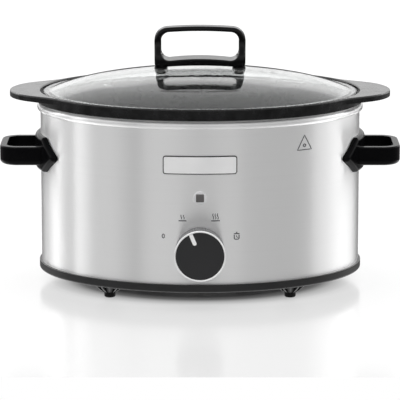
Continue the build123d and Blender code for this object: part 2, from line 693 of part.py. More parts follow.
with BuildPart() as loop:
    with BuildSketch(level(LOOP_BOTTOM)):
        with Locations((LOOP_ROOT + loop_l / 2, 0)):
            RectangleRounded(loop_l, 2 * LOOP_HALF_WIDTH, LOOP_CORNER_R)
    extrude(amount=loop_h)
    fillet(loop.faces().sort_by(Axis.Z)[0].edges(), LOOP_UNDER_ROUND)
    fillet(loop.faces().sort_by(Axis.Z)[-1].edges(), LOOP_TOP_ROUND)
    with BuildSketch(level(LOOP_BOTTOM)):
        with Locations((LOOP_ROOT + hole_l / 2, 0)):
            RectangleRounded(hole_l, 2 * (LOOP_HALF_WIDTH - LOOP_WALL), LOOP_CORNER_R - LOOP_WALL)
    extrude(amount=loop_h, mode=Mode.SUBTRACT)
    with BuildSketch(level(LOOP_BOTTOM)):
        oval(SHELL_A + PLATE_GAP)
    extrude(amount=loop_h, mode=Mode.SUBTRACT)

with BuildPart() as right_handle:
    add(against_shell(facing_right(LOOP_ROOT), plate_outline.sketch, loop_l, PLATE_GAP, PLATE_T))
    fillet(right_handle.faces().sort_by(Axis.X)[-1].edges(), PLATE_ROUND)
    add(loop.part)
    # Blind screw holes in the arms' roots
    with BuildSketch(facing_right(LOOP_ROOT)):
        with Locations(*HANDLE_SCREWS):
            Circle(HANDLE_SCREW_R + PRESS_GAP)
    extrude(amount=HANDLE_SCREW_TIP + LOOSE_GAP - LOOP_ROOT, mode=Mode.SUBTRACT)
write(right_handle, "right_handle")
write(mirror(right_handle.part, about=Plane.YZ), "left_handle")

BRACKET_GAP = -SHEET - BRACKET_OFF - BRACKET_T

with BuildSketch() as bracket_outline:
    with Locations((0, HANDLE_SCREW_Z)):
        RectangleRounded(2 * BRACKET_HALF, BRACKET_H, BRACKET_CORNER)
    with Locations(*HANDLE_SCREWS):
        Circle(HANDLE_SCREW_R + LOOSE_GAP, mode=Mode.SUBTRACT)

right_bracket = against_shell(facing_right(LOOP_ROOT), bracket_outline.sketch, loop_l, BRACKET_GAP, BRACKET_T)
write(right_bracket, "right_handle_bracket")
write(mirror(right_bracket, about=Plane.YZ), "left_handle_bracket")

# Screw heads bear on the bracket's inner face
HEAD_FACE = oval_x(SHELL_A + BRACKET_GAP, HANDLE_SCREW_Y + HANDLE_SCREW_HEAD_R) - HANDLE_SCREW_HEAD_SINK

with BuildPart() as handle_screws:
    with BuildSketch(facing_right(HEAD_FACE - HANDLE_SCREW_HEAD_T)):
        with Locations(*HANDLE_SCREWS):
            Circle(HANDLE_SCREW_HEAD_R)
    extrude(amount=HANDLE_SCREW_HEAD_T)
    with BuildSketch(facing_right(HEAD_FACE)):
        with Locations(*HANDLE_SCREWS):
            Circle(HANDLE_SCREW_R)
    extrude(amount=HANDLE_SCREW_TIP - HEAD_FACE)
    mirror(about=Plane.YZ)
write(handle_screws, "handle_screws")

# ---------------------------------------------------------------- rotary switch, fixed parts



def disc(z, radius, mode=Mode.ADD):
    """A circle on a front-facing sketch at height z."""
    with Locations((0, z)):
        Circle(radius, mode=mode)


def rounded_square(z, side, corner, mode=Mode.ADD):
    """A square with rounded corners on a front-facing sketch at height z."""
    with Locations((0, z)):
        RectangleRounded(side, side, corner, mode=mode)


with BuildPart() as switch_bracket:
    with BuildSketch(facing_front(SWITCH_FRONT)):
        rounded_square(KNOB_Z, SWITCH_PLATE_SIDE, SWITCH_PLATE_CORNER)
        disc(KNOB_Z, BUSHING_R + SLIP_GAP, Mode.SUBTRACT)
    extrude(amount=SWITCH_PLATE_FRONT - SWITCH_FRONT)
write(switch_bracket, "switch_bracket")

with BuildPart() as switch_case:
    with BuildSketch(facing_front(SWITCH_BACK)):
        rounded_square(KNOB_Z, 2 * SWITCH_HALF, SWITCH_CORNER)
    extrude(amount=SWITCH_FRONT - SWITCH_BACK)
    with BuildSketch(facing_front(SWITCH_FRONT)):
        disc(KNOB_Z, BUSHING_R)
    extrude(amount=BUSHING_L)
    with BuildSketch(facing_front(SWITCH_BACK + SWITCH_BACK_T)):
        disc(KNOB_Z, SWITCH_CAVITY_R)
    extrude(amount=SWITCH_FRONT - SWITCH_BACK - SWITCH_WALLS_T, mode=Mode.SUBTRACT)
    with BuildSketch(facing_front(SWITCH_BACK + SWITCH_BACK_T)):
        disc(KNOB_Z, SHAFT_R + SHAFT_GAP)
    extrude(amount=SHAFT_TIP - SWITCH_BACK, mode=Mode.SUBTRACT)
write(switch_case, "switch_case")

with BuildPart() as switch_nut:
    with BuildSketch(facing_front(SWITCH_NUT_BACK)):
        with Locations((0, KNOB_Z)):
            RegularPolygon(SWITCH_NUT_R, HEX)
        disc(KNOB_Z, BUSHING_R + PRESS_GAP, Mode.SUBTRACT)
    extrude(amount=SWITCH_NUT_T)
write(switch_nut, "switch_nut")

# ---------------------------------------------------------------- knob and what turns with it

CAP_FRONT = KNOB_FRONT - KNOB_CAP_RECESS
RING_BACK = KNOB_FRONT - RING_T
FLAT_CENTRE = (0, KNOB_Z + SHAFT_R)

with BuildPart() as switch_rotor:
    with BuildSketch(facing_front(ROTOR_BACK)):
        disc(KNOB_Z, ROTOR_R)
        disc(KNOB_Z, SHAFT_R + SHAFT_FIT, Mode.SUBTRACT)
    extrude(amount=ROTOR_T)
write(switch_rotor, "switch_rotor")

with BuildPart() as switch_shaft:
    with BuildSketch(facing_front(SHAFT_BACK)):
        disc(KNOB_Z, SHAFT_R)
    extrude(amount=SHAFT_TIP - SHAFT_BACK)
    # Flat on the end that the knob's hub grips
    with BuildSketch(facing_front(HUB_REAR)):
        with Locations(FLAT_CENTRE):
            Rectangle(2 * SHAFT_R, SHAFT_FLAT)
    extrude(amount=SHAFT_TIP - HUB_REAR, mode=Mode.SUBTRACT)
write(switch_shaft, "switch_shaft")

with BuildPart() as knob_body:
    with BuildSketch(facing_front(KNOB_REAR)):
        disc(KNOB_Z, KNOB_REAR_R)
    with BuildSketch(facing_front(RING_BACK)):
        disc(KNOB_Z, KNOB_FRONT_R)
    loft()
    # Fine grip flutes round the flank
    with BuildSketch(facing_front(KNOB_REAR + FLUTE_START)):
        with Locations((0, KNOB_Z)):
            with PolarLocations(KNOB_REAR_R + FLUTE_OUT, KNOB_FLUTES):
                Circle(FLUTE_R)
    extrude(amount=RING_BACK - KNOB_REAR - FLUTE_START - FLUTE_END, mode=Mode.SUBTRACT)
    with BuildSketch(facing_front(KNOB_REAR)):
        disc(KNOB_Z, KNOB_REAR_R - KNOB_WALL)
    extrude(amount=KNOB_CAVITY_FRONT - KNOB_REAR, mode=Mode.SUBTRACT)
    # Hub with a D-shaped hole for the shaft
    with BuildSketch(facing_front(HUB_REAR)):
        disc(KNOB_Z, HUB_R)
    extrude(amount=HUB_FRONT - HUB_REAR)
    with BuildSketch(facing_front(HUB_REAR)):
        disc(KNOB_Z, SHAFT_R + SHAFT_FIT)
        with Locations(FLAT_CENTRE):
            Rectangle(2 * SHAFT_R, SHAFT_FLAT - 2 * SHAFT_FIT, mode=Mode.SUBTRACT)
    extrude(amount=SHAFT_TIP + SLIP_GAP - HUB_REAR, mode=Mode.SUBTRACT)
write(knob_body, "knob_body")

with BuildPart() as knob_ring:
    with BuildSketch(facing_front(RING_BACK)):
        disc(KNOB_Z, KNOB_FRONT_R)
        disc(KNOB_Z, KNOB_RIM_R, Mode.SUBTRACT)
    extrude(amount=RING_T)
    fillet(knob_ring.faces().sort_by(Axis.Y)[0].edges(), RING_ROUND)
write(knob_ring, "knob_ring")

pointer_l = POINTER_OUT - POINTER_IN

with BuildSketch() as pointer_outline:
    with Locations(Location((0, KNOB_Z), POINTER_ANGLE)):
        with Locations((0, POINTER_IN + pointer_l / 2)):
            Rectangle(POINTER_W, pointer_l)
        with Locations((0, POINTER_IN)):
            Circle(POINTER_W / 2)

with BuildPart() as knob_cap:
    with BuildSketch(facing_front(CAP_FRONT - KNOB_CAP_T)):
        disc(KNOB_Z, KNOB_RIM_R - SHAFT_FIT)
    extrude(amount=KNOB_CAP_T)
    with BuildSketch(facing_front(CAP_FRONT - POINTER_SUNK)):
        add(pointer_outline.sketch)
    extrude(amount=POINTER_T, mode=Mode.SUBTRACT)
write(knob_cap, "knob_cap")

with BuildPart() as knob_pointer:
    with BuildSketch(facing_front(CAP_FRONT - POINTER_SUNK)):
        add(pointer_outline.sketch)
    extrude(amount=POINTER_T)
write(knob_pointer, "knob_pointer")

# ---------------------------------------------------------------- badge and pilot light

BADGE_INNER_W, BADGE_INNER_H = BADGE_W - 2 * BADGE_FRAME_W, BADGE_H - 2 * BADGE_FRAME_W

with BuildSketch() as frame_outline:
    with Locations((0, BADGE_Z)):
        RectangleRounded(BADGE_W, BADGE_H, BADGE_CORNER)
        RectangleRounded(BADGE_INNER_W, BADGE_INNER_H, BADGE_PLATE_CORNER, mode=Mode.SUBTRACT)

with BuildSketch() as badge_outline:
    with Locations((0, BADGE_Z)):
        RectangleRounded(BADGE_INNER_W - SLIP_GAP, BADGE_INNER_H - SLIP_GAP, BADGE_PLATE_CORNER - PRESS_GAP)

SHELL_B = SHELL_A - OVAL_NARROWER
badge_plane = facing_front(SHELL_B)
badge_ring = against_shell(badge_plane, frame_outline.sketch, BADGE_DEPTH, PRESS_GAP, BADGE_FRAME_T)
write(badge_ring, "badge_frame")
badge_blank = against_shell(badge_plane, badge_outline.sketch, BADGE_DEPTH, PRESS_GAP, BADGE_PLATE_T)
write(badge_blank, "badge_plate")

BEZEL_BACK = SHELL_B + PRESS_GAP
LENS_BACK = SHELL_B + LENS_SEAT

with BuildPart() as indicator_bezel:
    with BuildSketch(facing_front(BEZEL_BACK)):
        disc(LAMP_Z, BEZEL_R)
    extrude(amount=BEZEL_T)
    fillet(indicator_bezel.faces().sort_by(Axis.Y)[0].edges(), BEZEL_ROUND)
    with BuildSketch(facing_front(BEZEL_BACK)):
        disc(LAMP_Z, BEZEL_TUBE_R)
    extrude(amount=-BEZEL_TUBE_L)
    with BuildSketch(facing_front(BEZEL_BACK - BEZEL_TUBE_L)):
        rounded_square(LAMP_Z, LENS_STEM_SIDE, LENS_STEM_CORNER)
    extrude(amount=BEZEL_TUBE_L + BEYOND, mode=Mode.SUBTRACT)
    with BuildSketch(facing_front(LENS_BACK)):
        rounded_square(LAMP_Z, LENS_SIDE + SLIP_GAP, LENS_CORNER)
    extrude(amount=BEYOND, mode=Mode.SUBTRACT)
write(indicator_bezel, "indicator_bezel")

with BuildPart() as indicator_lens:
    with BuildSketch(facing_front(LENS_BACK + SHAFT_FIT)):
        rounded_square(LAMP_Z, LENS_SIDE, LENS_CORNER)
    extrude(amount=LENS_T)
    chamfer(indicator_lens.faces().sort_by(Axis.Y)[0].edges(), LENS_BEVEL)
    with BuildSketch(facing_front(LENS_BACK + SHAFT_FIT)):
        rounded_square(LAMP_Z, LENS_STEM_SIDE - SLIP_GAP, LENS_STEM_CORNER - SLIP_GAP)
    extrude(amount=-LENS_STEM_L)
write(indicator_lens, "indicator_lens")

with BuildPart() as indicator_lamp:
    with BuildSketch(facing_front(SHELL_B - LAMP_FRONT_IN)):
        disc(LAMP_Z, LAMP_R)
    extrude(amount=-LAMP_L)
    fillet(indicator_lamp.faces().sort_by(Axis.Y)[0].edges(), LAMP_TIP_ROUND)
write(indicator_lamp, "indicator_lamp")

with BuildPart() as lamp_sleeve:
    with BuildSketch(facing_front(SHELL_B - SLEEVE_FRONT_IN)):
        disc(LAMP_Z, SLEEVE_R)
        disc(LAMP_Z, LAMP_R + SLIP_GAP, Mode.SUBTRACT)
    extrude(amount=-SLEEVE_L)
write(lamp_sleeve, "lamp_sleeve")

# ---------------------------------------------------------------- cord gland, terminals and internal leads

with BuildPart() as cord_gland:
    with BuildSketch(facing_back(GLAND_INSIDE)):
        disc(GLAND_Z, GLAND_NOSE_R)
    extrude(amount=GLAND_BACK - GLAND_INSIDE)
    fillet(cord_gland.faces().sort_by(Axis.Y)[-1].edges(), GLAND_ROUND)
    with BuildSketch(facing_back(SHELL_B + SLIP_GAP)):
        disc(GLAND_Z, GLAND_FLANGE_R)
    extrude(amount=GLAND_FLANGE_T)
    with BuildSketch(facing_back(GLAND_INSIDE)):
        disc(GLAND_Z, GLAND_BORE_R)
    extrude(amount=GLAND_BACK - GLAND_INSIDE, mode=Mode.SUBTRACT)
write(cord_gland, "cord_gland")

BLOCK_Z = SKIRT_BOTTOM + TRAY_FLOOR

with BuildPart() as terminal_block:
    with BuildSketch(level(BLOCK_Z)):
        with Locations((BLOCK_X, BLOCK_Y)):
            RectangleRounded(BLOCK_L, BLOCK_W, BLOCK_CORNER)
    extrude(amount=BLOCK_H)
    with BuildSketch(level(BLOCK_Z + BLOCK_H)):
        with Locations((BLOCK_X, BLOCK_Y)):
            with GridLocations(BLOCK_PITCH, BLOCK_PITCH, BLOCK_WELLS, 1):
                Circle(BLOCK_WELL_R)
    extrude(amount=-BLOCK_WELL_DEEP, mode=Mode.SUBTRACT)
write(terminal_block, "terminal_block")

LEAD_Z = BLOCK_Z + LEAD_ABOVE_FLOOR
BLOCK_FRONT = BLOCK_Y - BLOCK_W / 2
SWITCH_FOOT = KNOB_Z - SWITCH_HALF
BAND_END = BAND_BOTTOM - LEAD_END_GAP
FUSE_IN, FUSE_OUT = FUSE_X - FUSE_L / 2, FUSE_X + FUSE_L / 2

# Each wire's waypoints, and the bend at each turn between its ends
LEAD_PATHS = {
    "lead_live": (
        [
            (BLOCK_X, BLOCK_FRONT, LEAD_Z),
            (BLOCK_X, 20, LEAD_Z),
            (-20, -60, LEAD_Z),
            (-5, -106, LEAD_Z),
            (-5, -106, SWITCH_FOOT),
        ],
        [14, 20, 10],
    ),
    "lead_switched": (
        [(5, -106, SWITCH_FOOT), (5, -106, LEAD_Z + 3), (12, FUSE_Y, FUSE_Z), (FUSE_IN, FUSE_Y, FUSE_Z)],
        [8, 12],
    ),
    "lead_heater": (
        [(FUSE_OUT, FUSE_Y, FUSE_Z), (96, FUSE_Y, FUSE_Z), (LEAD_RISE_X, 30, FUSE_Z), (LEAD_RISE_X, 30, BAND_END)],
        [12, 5],
    ),
    "lead_neutral": (
        [
            (BLOCK_X - BLOCK_PITCH, BLOCK_FRONT, LEAD_Z),
            (BLOCK_X - BLOCK_PITCH, 30, LEAD_Z),
            (-100, 10, LEAD_Z),
            (-LEAD_RISE_X, 30, LEAD_Z + 4),
            (-LEAD_RISE_X, 30, BAND_END),
        ],
        [12, 10, 4],
    ),
    "lead_earth": (
        [
            (BLOCK_X + BLOCK_PITCH, BLOCK_FRONT, LEAD_Z),
            (BLOCK_X + BLOCK_PITCH, 30, LEAD_Z),
            (-3, 18, LEAD_Z + 4),
            (-3, 18, WELL_FLOOR - LEAD_END_GAP),
        ],
        [10, 4],
    ),
}

for name, (points, bends) in LEAD_PATHS.items():
    start, toward = Vector(*points[0]), Vector(*points[1])
    with BuildPart() as wire:
        with BuildLine() as path:
            FilletPolyline(*points, radius=bends)
        with BuildSketch(Plane(origin=start, z_dir=toward - start)):
            Circle(LEAD_R)
        sweep(path=path.line)
    write(wire, name)
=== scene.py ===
"""Looks of the oval slow cooker: materials, printed marks, table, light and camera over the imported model."""

import math

import bmesh
import bpy
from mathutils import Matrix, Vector


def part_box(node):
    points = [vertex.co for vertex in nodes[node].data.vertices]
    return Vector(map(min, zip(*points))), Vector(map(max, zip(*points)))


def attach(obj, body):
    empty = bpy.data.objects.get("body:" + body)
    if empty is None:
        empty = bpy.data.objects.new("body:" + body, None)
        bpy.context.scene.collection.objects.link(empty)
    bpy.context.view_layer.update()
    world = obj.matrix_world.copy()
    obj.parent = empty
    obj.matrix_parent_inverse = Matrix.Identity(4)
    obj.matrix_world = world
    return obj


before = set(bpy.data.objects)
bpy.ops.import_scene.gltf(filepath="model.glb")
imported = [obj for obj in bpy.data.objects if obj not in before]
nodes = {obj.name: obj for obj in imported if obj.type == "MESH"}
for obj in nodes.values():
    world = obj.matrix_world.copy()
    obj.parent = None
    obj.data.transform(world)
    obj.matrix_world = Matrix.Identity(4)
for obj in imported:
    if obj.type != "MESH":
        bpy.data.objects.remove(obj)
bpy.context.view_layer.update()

scene = bpy.context.scene
MM = 0.001

# ---------------------------------------------------------------- where things are, in metres

BEAD_PROUD = 3 * MM  # how far the rolled bead stands out past the shell's wall

shell_low, shell_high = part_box("outer_shell")
OVAL_Y = (shell_low.y + shell_high.y) / 2
SHELL_A = (shell_high.x - shell_low.x) / 2 - BEAD_PROUD
SHELL_B = (shell_high.y - shell_low.y) / 2 - BEAD_PROUD

ring_low, ring_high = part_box("knob_ring")
KNOB_Z = (ring_low.z + ring_high.z) / 2

# ---------------------------------------------------------------- node helpers


def new_material(name):
    """A new material, its node tree and its main shader."""
    material = bpy.data.materials.new(name)
    material.use_nodes = True
    tree = material.node_tree
    return material, tree, tree.nodes["Principled BSDF"]


def set_shader(shader, **values):
    """Constant shader inputs; an underscore in a name stands for a space."""
    for name, value in values.items():
        shader.inputs[name.replace("_", " ")].default_value = value


def calc(tree, operation, a, b):
    """One step of arithmetic; a and b are each a float or a socket."""
    node = tree.nodes.new("ShaderNodeMath")
    node.operation = operation
    for socket, value in zip(node.inputs, (a, b)):
        if isinstance(value, float):
            socket.default_value = value
        else:
            tree.links.new(value, socket)
    return node.outputs["Value"]


def noise(tree, scale, detail=3.0, stretch=(1, 1, 1), roughness=0.55):
    """Noise over the object, with that many cells to the metre, as a value of about 0.3 to 0.7."""
    coords = tree.nodes.new("ShaderNodeTexCoord")
    mapping = tree.nodes.new("ShaderNodeMapping")
    mapping.inputs["Scale"].default_value = stretch
    tree.links.new(coords.outputs["Object"], mapping.inputs["Vector"])
    node = tree.nodes.new("ShaderNodeTexNoise")
    node.inputs["Scale"].default_value = scale
    node.inputs["Detail"].default_value = detail
    node.inputs["Roughness"].default_value = roughness
    tree.links.new(mapping.outputs["Vector"], node.inputs["Vector"])
    return node.outputs["Fac"]


def ramp(tree, value, *stops):
    """Colour ramp; each stop is (position, colour), and a colour may be one grey value."""
    node = tree.nodes.new("ShaderNodeValToRGB")
    elements = node.color_ramp.elements
    elements[0].position, elements[-1].position = stops[0][0], stops[-1][0]
    for position, _ in stops[1:-1]:
        elements.new(position)
    for element, (_, colour) in zip(elements, stops):
        element.color = (*colour, 1) if isinstance(colour, tuple) else (*grey(colour), 1)
    tree.links.new(value, node.inputs["Fac"])
    return node.outputs["Color"]


def drive(tree, shader, socket, value, *stops):
    """Leads a shader's socket through a colour ramp of that value."""
    tree.links.new(ramp(tree, value, *stops), shader.inputs[socket])


def add_bump(tree, shader, height, strength, distance):
    """Bump from a height value; distance in metres. A second call adds to the first."""
    node = tree.nodes.new("ShaderNodeBump")
    node.inputs["Strength"].default_value = strength
    node.inputs["Distance"].default_value = distance
    tree.links.new(height, node.inputs["Height"])
    if shader.inputs["Normal"].links:
        tree.links.new(shader.inputs["Normal"].links[0].from_socket, node.inputs["Normal"])
    tree.links.new(node.outputs["Normal"], shader.inputs["Normal"])


def grey(tone):
    """A neutral colour."""
    return (tone, tone, tone)


def dress(material, *names):
    """Gives CAD nodes that material."""
    for name in names:
        mesh = nodes[name].data
        mesh.materials.clear()
        mesh.materials.append(material)


# ---------------------------------------------------------------- materials

STREAKS = (14, 14, 1900)  # cells to the metre: long along the sheet and very short up it
BANDS = (5, 5, 260)
BAND_SHARE = 0.35


def brushed_steel(name, tone, roughness):
    """Sheet steel brushed along the horizontal, with long fine streaks."""
    material, tree, shader = new_material(name)
    set_shader(shader, Metallic=1.0, Anisotropic=1.0, Anisotropic_Rotation=0.25)
    fine = noise(tree, 1.0, detail=4.0, stretch=STREAKS, roughness=0.7)
    broad = noise(tree, 1.0, detail=2.0, stretch=BANDS)
    mix = tree.nodes.new("ShaderNodeMix")
    mix.inputs["Factor"].default_value = BAND_SHARE
    tree.links.new(fine, mix.inputs["A"])
    tree.links.new(broad, mix.inputs["B"])
    streaks = mix.outputs["Result"]
    lightest = min(1, tone * 1.02)
    drive(tree, shader, "Base Color", streaks, (0.3, tone * 0.975), (0.5, tone), (0.7, lightest))
    drive(tree, shader, "Roughness", streaks, (0.3, roughness * 1.05), (0.7, roughness * 0.95))
    add_bump(tree, shader, fine, strength=0.05, distance=0.06 * MM)
    tangent = tree.nodes.new("ShaderNodeTangent")
    tangent.direction_type = "RADIAL"
    tangent.axis = "Z"
    tree.links.new(tangent.outputs["Tangent"], shader.inputs["Tangent"])
    return material


def plain_metal(name, colour, roughness, grain=900):
    """Plated or drawn metal with a slight, fine unevenness."""
    material, tree, shader = new_material(name)
    set_shader(shader, Metallic=1.0)
    value = noise(tree, grain, detail=4.0)
    darker = tuple(c * 0.9 for c in colour)
    drive(tree, shader, "Base Color", value, (0.35, darker), (0.65, colour))
    drive(tree, shader, "Roughness", value, (0.3, roughness * 1.3), (0.7, roughness * 0.8))
    add_bump(tree, shader, value, strength=0.08, distance=0.05 * MM)
    return material


def moulded(name, colour, roughness, coat=0.0, grain=1500, strength=0.1, gloss=0.5, metal=0.0):
    """Moulded, painted or rubber surface: a fine grain and faint handling marks that vary its tone."""
    material, tree, shader = new_material(name)
    set_shader(shader, Coat_Weight=coat, Coat_Roughness=0.08, Specular_IOR_Level=gloss, Metallic=metal)
    grains = noise(tree, grain, detail=2.0)
    marks = noise(tree, 28, detail=5.0)
    lighter = tuple(min(1, c * 1.25 + 0.002) for c in colour)
    drive(tree, shader, "Base Color", marks, (0.35, colour), (0.75, lighter))
    drive(tree, shader, "Roughness", marks, (0.3, roughness * 0.85), (0.75, roughness * 1.2))
    add_bump(tree, shader, grains, strength, distance=0.1 * MM)
    return material


def stoneware(name, dark, light):
    """Black glazed stoneware: glossy glaze over a slightly wavy body, with fine pinholes."""
    material, tree, shader = new_material(name)
    set_shader(shader, Specular_IOR_Level=0.4, Coat_Weight=0.35, Coat_Roughness=0.05)
    mottle = noise(tree, 90, detail=6.0)
    waves = noise(tree, 16, detail=2.0)
    pits = noise(tree, 1100, detail=1.0)
    drive(tree, shader, "Base Color", mottle, (0.35, dark), (0.7, light))
    drive(tree, shader, "Roughness", mottle, (0.3, 0.2), (0.75, 0.32))
    add_bump(tree, shader, waves, strength=0.05, distance=1.2 * MM)
    add_bump(tree, shader, pits, strength=0.015, distance=0.1 * MM)
    return material


def glass(name, colour, roughness):
    """Clear glass with a faint waviness from pressing."""
    material, tree, shader = new_material(name)
    set_shader(shader, Transmission_Weight=1.0, IOR=1.46, Base_Color=(*colour, 1))
    waves = noise(tree, 22, detail=2.0)
    drive(tree, shader, "Roughness", waves, (0.3, roughness), (0.7, roughness * 2.5))
    add_bump(tree, shader, waves, strength=0.02, distance=0.4 * MM)
    return material


def turned(name, dark, light, roughness, centre):
    """A face with fine turned rings round an axis along Y through centre."""
    material, tree, shader = new_material(name)
    rings = tree.nodes.new("ShaderNodeTexWave")
    rings.wave_type = "RINGS"
    rings.rings_direction = "Y"
    rings.inputs["Scale"].default_value = 900
    rings.inputs["Distortion"].default_value = 1.2
    rings.inputs["Detail"].default_value = 3.0
    coords = tree.nodes.new("ShaderNodeTexCoord")
    shift = tree.nodes.new("ShaderNodeVectorMath")
    shift.operation = "SUBTRACT"
    shift.inputs[1].default_value = centre
    tree.links.new(coords.outputs["Object"], shift.inputs[0])
    tree.links.new(shift.outputs["Vector"], rings.inputs["Vector"])
    drive(tree, shader, "Base Color", rings.outputs["Fac"], (0.2, dark), (0.8, light))
    drive(tree, shader, "Roughness", rings.outputs["Fac"], (0.2, roughness), (0.8, roughness * 0.8))
    add_bump(tree, shader, rings.outputs["Fac"], strength=0.06, distance=0.08 * MM)
    return material


# ---------------------------------------------------------------- what each piece is made of

JET = (0.002, 0.002, 0.0023)
BASE_BLACK = (0.008, 0.008, 0.0084)
FACE_DARK, FACE_LIGHT = (0.012, 0.012, 0.013), (0.019, 0.019, 0.02)
GLAZE_DARK, GLAZE_LIGHT = grey(0.004), (0.009, 0.009, 0.0095)
SMOKE = (0.11, 0.105, 0.105)
CLEAR, WARM_CLEAR = (0.97, 0.985, 0.98), (1.0, 0.9, 0.8)
PAINT_WHITE = (0.82, 0.82, 0.81)
BEZEL_SILVER, FLANK_SILVER = (0.74, 0.74, 0.75), (0.4, 0.4, 0.41)
ZINC, FUSE_TIN, BRASS = (0.62, 0.62, 0.6), (0.66, 0.66, 0.64), (0.78, 0.6, 0.32)
FIBRE, CERAMIC = (0.74, 0.72, 0.66), (0.78, 0.76, 0.7)
IVORY, SLEEVE_WHITE = (0.66, 0.63, 0.55), (0.7, 0.7, 0.64)
LEAD_BROWN, LEAD_BLUE, LEAD_GREEN = (0.2, 0.08, 0.03), (0.03, 0.09, 0.4), (0.16, 0.36, 0.06)
INK = (0.045, 0.045, 0.05)

# The heated base
dress(brushed_steel("brushed_steel", tone=1.0, roughness=0.3), "outer_shell")
dress(brushed_steel("well_steel", tone=0.5, roughness=0.42), "heating_well")
dress(moulded("base_black", BASE_BLACK, roughness=0.38, strength=0.15), "base_tray")
dress(moulded("handle_black", JET, roughness=0.16, gloss=0.06), "left_handle", "right_handle")
dress(
    moulded("foot_rubber", grey(0.003), roughness=0.6, strength=0.3, gloss=0.15),
    *[name for name in nodes if name.startswith("foot_")],
)

# The crock and its lid
dress(stoneware("black_glaze", GLAZE_DARK, GLAZE_LIGHT), "crock")
dress(glass("clear_glass", CLEAR, roughness=0.004), "lid_glass")
dress(moulded("grip_black", JET, roughness=0.18, gloss=0.22), "lid_handle")
dress(moulded("seal_rubber", grey(0.02), roughness=0.55, strength=0.3), "lid_seals")

# What shows on the front
plate_look = moulded("badge_silver", grey(0.93), roughness=0.45, grain=700, strength=0.03, metal=0.35)
dress(plate_look, "badge_plate")
# The near-black frame round the badge is painted shade: it stands in for the shadow and dark reflection on the
# plate's bevelled edges
dress(moulded("badge_edge", grey(0.02), roughness=0.3), "badge_frame")
dress(moulded("bezel_silver", BEZEL_SILVER, roughness=0.4, metal=0.5), "indicator_bezel")
dress(moulded("lens_smoke", SMOKE, roughness=0.2, coat=0.5, grain=600), "indicator_lens")
dress(plain_metal("knob_silver", FLANK_SILVER, roughness=0.4), "knob_body")
dress(moulded("knob_rim", grey(0.86), roughness=0.3, metal=0.35), "knob_ring")
knob_centre = (0, ring_low.y, KNOB_Z)
dress(turned("knob_face", FACE_DARK, FACE_LIGHT, roughness=0.42, centre=knob_centre), "knob_cap")
dress(moulded("pointer_white", PAINT_WHITE, roughness=0.35, grain=900), "knob_pointer")

# Fixings and what the base holds inside
dress(
    plain_metal("zinc_steel", ZINC, roughness=0.32),
    "lid_screws", "handle_screws", "tie_stud", "tie_washer", "tie_nut", "switch_nut", "switch_bracket",
    "left_handle_bracket", "right_handle_bracket", "fuse_clip",
)
dress(plain_metal("fuse_metal", FUSE_TIN, roughness=0.35), "thermal_fuse")
dress(plain_metal("band_foil", grey(0.72), roughness=0.28, grain=140), "heater_band")
dress(plain_metal("shaft_brass", BRASS, roughness=0.3), "switch_shaft")
dress(moulded("insulation_fibre", FIBRE, roughness=0.9, grain=420, strength=0.7), "insulation_wrap")
dress(moulded("switch_plastic", grey(0.08), roughness=0.45), "switch_case")
dress(moulded("rotor_plastic", IVORY, roughness=0.5), "switch_rotor")
dress(moulded("gland_rubber", grey(0.014), roughness=0.5, strength=0.3), "cord_gland")
dress(moulded("block_ceramic", CERAMIC, roughness=0.6, grain=700), "terminal_block")
dress(moulded("lamp_sleeve", SLEEVE_WHITE, roughness=0.5), "lamp_sleeve")
dress(glass("lamp_glass", WARM_CLEAR, roughness=0.02), "indicator_lamp")
dress(moulded("lead_brown", LEAD_BROWN, roughness=0.45), "lead_live", "lead_switched", "lead_heater")
dress(moulded("lead_blue", LEAD_BLUE, roughness=0.45), "lead_neutral")
dress(moulded("lead_green", LEAD_GREEN, roughness=0.45), "lead_earth")

# ---------------------------------------------------------------- printed marks on the shell

INK_BOTTOM, INK_TOP = 0.04 * MM, 0.12 * MM  # heights over the steel
LINE = 0.9 * MM
ZERO_LINE, WISP_LINE, FINE_LINE, DOT_LINE = 0.85 * LINE, 0.75 * LINE, 0.8 * LINE, 0.9 * LINE

ink = moulded("print_ink", INK, roughness=0.5, grain=2500)


def on_shell(x, z, proud):
    """The point of the shell's front over (x, z), proud of the steel by that much."""
    slope = math.sqrt(1 - (x / SHELL_A) ** 2)
    normal = Vector((x / SHELL_A**2, -slope / SHELL_B, 0)).normalized()
    return Vector((x, OVAL_Y - SHELL_B * slope, z)) + normal * proud


def stroke(name, points, width, closed=False):
    """A printed line that follows the shell: points are (x, z), and the line is a thin solid ribbon."""
    mesh = bmesh.new()
    count = len(points)
    rows = []
    for i, (x, z) in enumerate(points):
        before = points[i - 1] if i or closed else points[0]
        after = points[(i + 1) % count] if i < count - 1 or closed else points[-1]
        along = Vector((after[0] - before[0], after[1] - before[1])).normalized()
        side = Vector((-along.y, along.x)) * width / 2
        rows.append([
            mesh.verts.new(on_shell(x + s * side.x, z + s * side.y, height))
            for height in (INK_BOTTOM, INK_TOP) for s in (-1, 1)
        ])
    pairs = zip(rows, rows[1:] + rows[:1]) if closed else zip(rows, rows[1:])
    for a, b in pairs:
        for j, k in ((0, 1), (1, 3), (3, 2), (2, 0)):
            mesh.faces.new((a[j], a[k], b[k], b[j]))
    if not closed:
        mesh.faces.new([rows[0][i] for i in (0, 1, 3, 2)])
        mesh.faces.new([rows[-1][i] for i in (2, 3, 1, 0)])
    bmesh.ops.recalc_face_normals(mesh, faces=mesh.faces)
    data = bpy.data.meshes.new(name)
    mesh.to_mesh(data)
    mesh.free()
    data.materials.append(ink)
    piece = bpy.data.objects.new(name, data)
    scene.collection.objects.link(piece)
    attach(piece, "base")


def around(centre_x, centre_z, radius_x, radius_z, steps):
    """Points round an ellipse, anticlockwise from its right."""
    turns = [2 * math.pi * i / steps for i in range(steps)]
    return [(centre_x + radius_x * math.cos(t), centre_z + radius_z * math.sin(t)) for t in turns]


